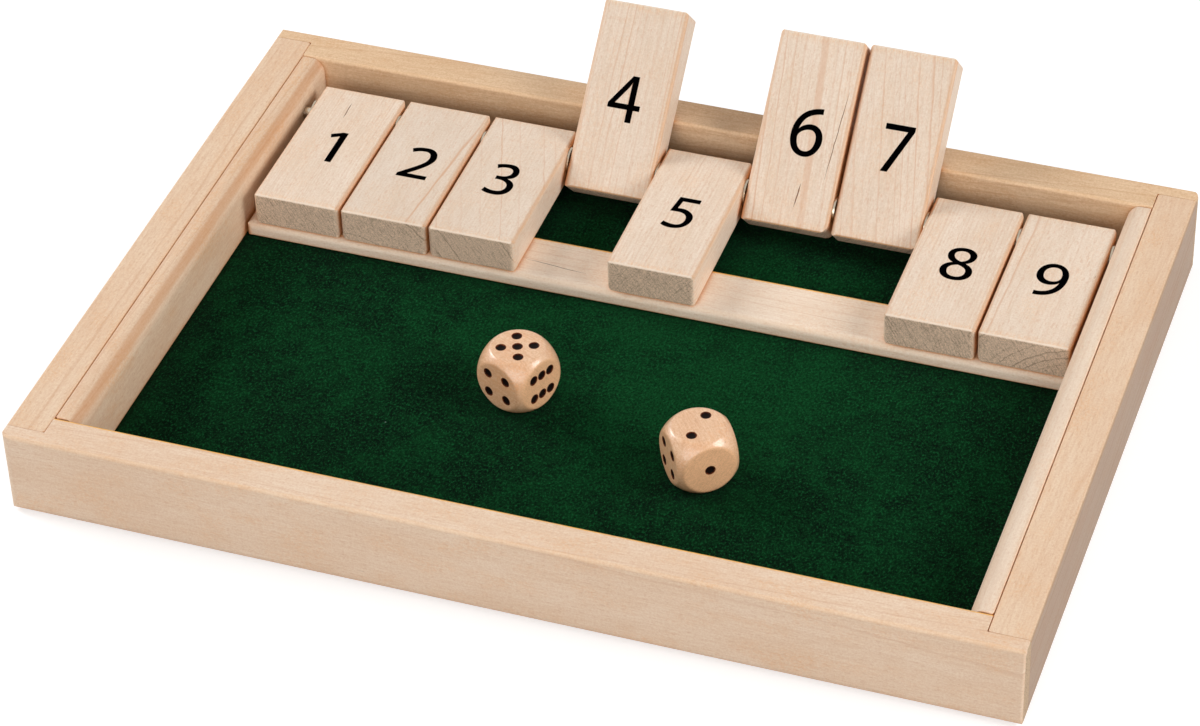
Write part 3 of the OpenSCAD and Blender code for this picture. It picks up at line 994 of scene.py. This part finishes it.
def softened(point):
    """A point of the cube, pulled in to where the flats run softly into the ball."""
    flat, ball = point.length, DIE_BALL / 2 * MM
    overlap = max(DIE_SOFTNESS * MM - abs(flat - ball), 0) / (DIE_SOFTNESS * MM)
    reach = min(flat, ball) - overlap**2 * DIE_SOFTNESS * MM / 4
    return point.normalized() * reach


def die_mesh(look, paint):
    """A die about its centre, with its pips sunk in and painted."""
    form = bmesh.new()
    form.loops.layers.uv.new("pip")
    bmesh.ops.create_cube(form, size=DIE_WIDTH * MM)
    bmesh.ops.subdivide_edges(form, edges=form.edges, cuts=DIE_CUTS, use_grid_fill=True)
    for vertex in form.verts:
        vertex.co = softened(vertex.co)
    blank = bpy.data.objects.new("die_blank", mesh_from(form, "die_blank", True))
    drill = bpy.data.objects.new("pip_drill", pip_drill())
    for part, material in ((blank, look), (drill, paint)):
        part.data.materials.append(material)
        bpy.context.scene.collection.objects.link(part)
    sink = blank.modifiers.new("pips", "BOOLEAN")
    sink.operation = "DIFFERENCE"
    sink.material_mode = "TRANSFER"
    sink.object = drill
    depsgraph = bpy.context.evaluated_depsgraph_get()
    mesh = bpy.data.meshes.new_from_object(blank.evaluated_get(depsgraph))
    mesh.set_sharp_from_angle(angle=math.radians(SHARP_ANGLE))
    for part in (blank, drill):
        bpy.data.objects.remove(part)
    return mesh


def make_dice(groups):
    """The dice, softer at their rims than the frame's, with painted pips."""
    paint = pip_paint()
    size = (DIE_WIDTH,) * 3
    for seed, (name, (middle, tip, turn)) in enumerate(DICE.items()):
        turned = euler((tip, 0, turn))
        look = wood(
            name, groups, DIE_FINISH, middle, size, turned, DIE_TREES[name],
            seed + 50.5, waver=2.0, roughness=0.42, coat=1.0,
        )
        mesh = die_mesh(look, paint)
        mesh.transform(Matrix.Translation(Vector(middle) * MM) @ turned.to_matrix().to_4x4())
        die = new_piece(name + "_body", mesh, name)
        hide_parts(name)


def soft_light(name, place, size, power):
    """A broad lamp that looks at the middle of the tray."""
    lamp = bpy.data.lights.new(name, "AREA")
    lamp.shape = "RECTANGLE"
    lamp.size, lamp.size_y = size
    lamp.energy = power
    rig = bpy.data.objects.new(name, lamp)
    rig.location = place
    rig.rotation_euler = Vector(place).to_track_quat("Z", "Y").to_euler()
    bpy.context.scene.collection.objects.link(rig)


def seen_directly(draw):
    """1 for what is seen, straight or in a gloss, and 0 for the light that falls on things."""
    rays = draw.node("LightPath").outputs
    return draw.larger(rays["Is Camera Ray"], rays["Is Glossy Ray"])


def white_floor():
    """A floor that takes the tray's shadow and glows the rest of the way to white."""
    bpy.ops.mesh.primitive_plane_add(size=FLOOR_SIZE, location=(0, 0, -FLOOR_DROP))
    floor = bpy.context.object
    floor.name = "floor"
    material, draw, shader = new_material("white_floor")
    shader["Base Color"].default_value = FLOOR_GREY
    shader["Roughness"].default_value = 0.9
    shader["Specular IOR Level"].default_value = 0.0
    glow = draw.node("Emission", {"Strength": draw.times(seen_directly(draw), FLOOR_GLOW)})
    nodes = material.node_tree.nodes
    both = draw.node("AddShader", {0: nodes["Principled BSDF"].outputs[0], 1: glow.outputs[0]})
    draw.feed(nodes["Material Output"].inputs["Surface"], both.outputs[0])
    floor.data.materials.append(material)


def white_surround():
    """A surround that is seen as white and gives a little light from all sides."""
    world = bpy.data.worlds.new("studio")
    bpy.context.scene.world = world
    world.use_nodes = True
    draw = Shading(world.node_tree)
    strength = draw.times(seen_directly(draw), 1 - SURROUND_LIGHT)
    background = world.node_tree.nodes["Background"].inputs
    background["Color"].default_value = (1, 1, 1, 1)
    draw.feed(background["Strength"], draw.plus(strength, SURROUND_LIGHT))


def studio():
    """The floor, the surround and the lamps."""
    white_floor()
    white_surround()
    for name, (place, size, power) in LAMPS.items():
        soft_light(name, place, size, power)


def place_camera():
    """A long lens that looks down at the tray from the front and the right."""
    camera = bpy.data.cameras.new("camera")
    camera.sensor_width = CAMERA_SENSOR
    camera.lens = CAMERA_LENS
    rig = bpy.data.objects.new("camera", camera)
    rig.matrix_world = (
        Matrix.Translation(CAMERA_PLACE * MM)
        @ Matrix((CAMERA_RIGHT, CAMERA_UP, CAMERA_BACK)).transposed().to_4x4()
    )
    bpy.context.scene.collection.objects.link(rig)
    bpy.context.scene.camera = rig


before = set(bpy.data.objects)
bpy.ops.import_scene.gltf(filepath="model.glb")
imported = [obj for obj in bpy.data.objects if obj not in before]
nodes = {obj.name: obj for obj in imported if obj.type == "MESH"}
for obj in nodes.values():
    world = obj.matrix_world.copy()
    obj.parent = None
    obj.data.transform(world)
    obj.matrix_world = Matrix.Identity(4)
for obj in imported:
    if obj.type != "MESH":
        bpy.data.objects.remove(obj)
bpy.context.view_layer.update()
place_camera()
groups = {
    "sawn wood": sawn_wood_group(growth_ring_group(), edge_mask_group()),
    "crack": crack_group(),
}
finish_boards(nodes, groups)
finish_tiles(nodes, groups)
finish_steel(nodes)
felt_sheet()
print_numbers()
make_dice(groups)
studio()
bpy.context.scene.view_settings.view_transform = "Standard"
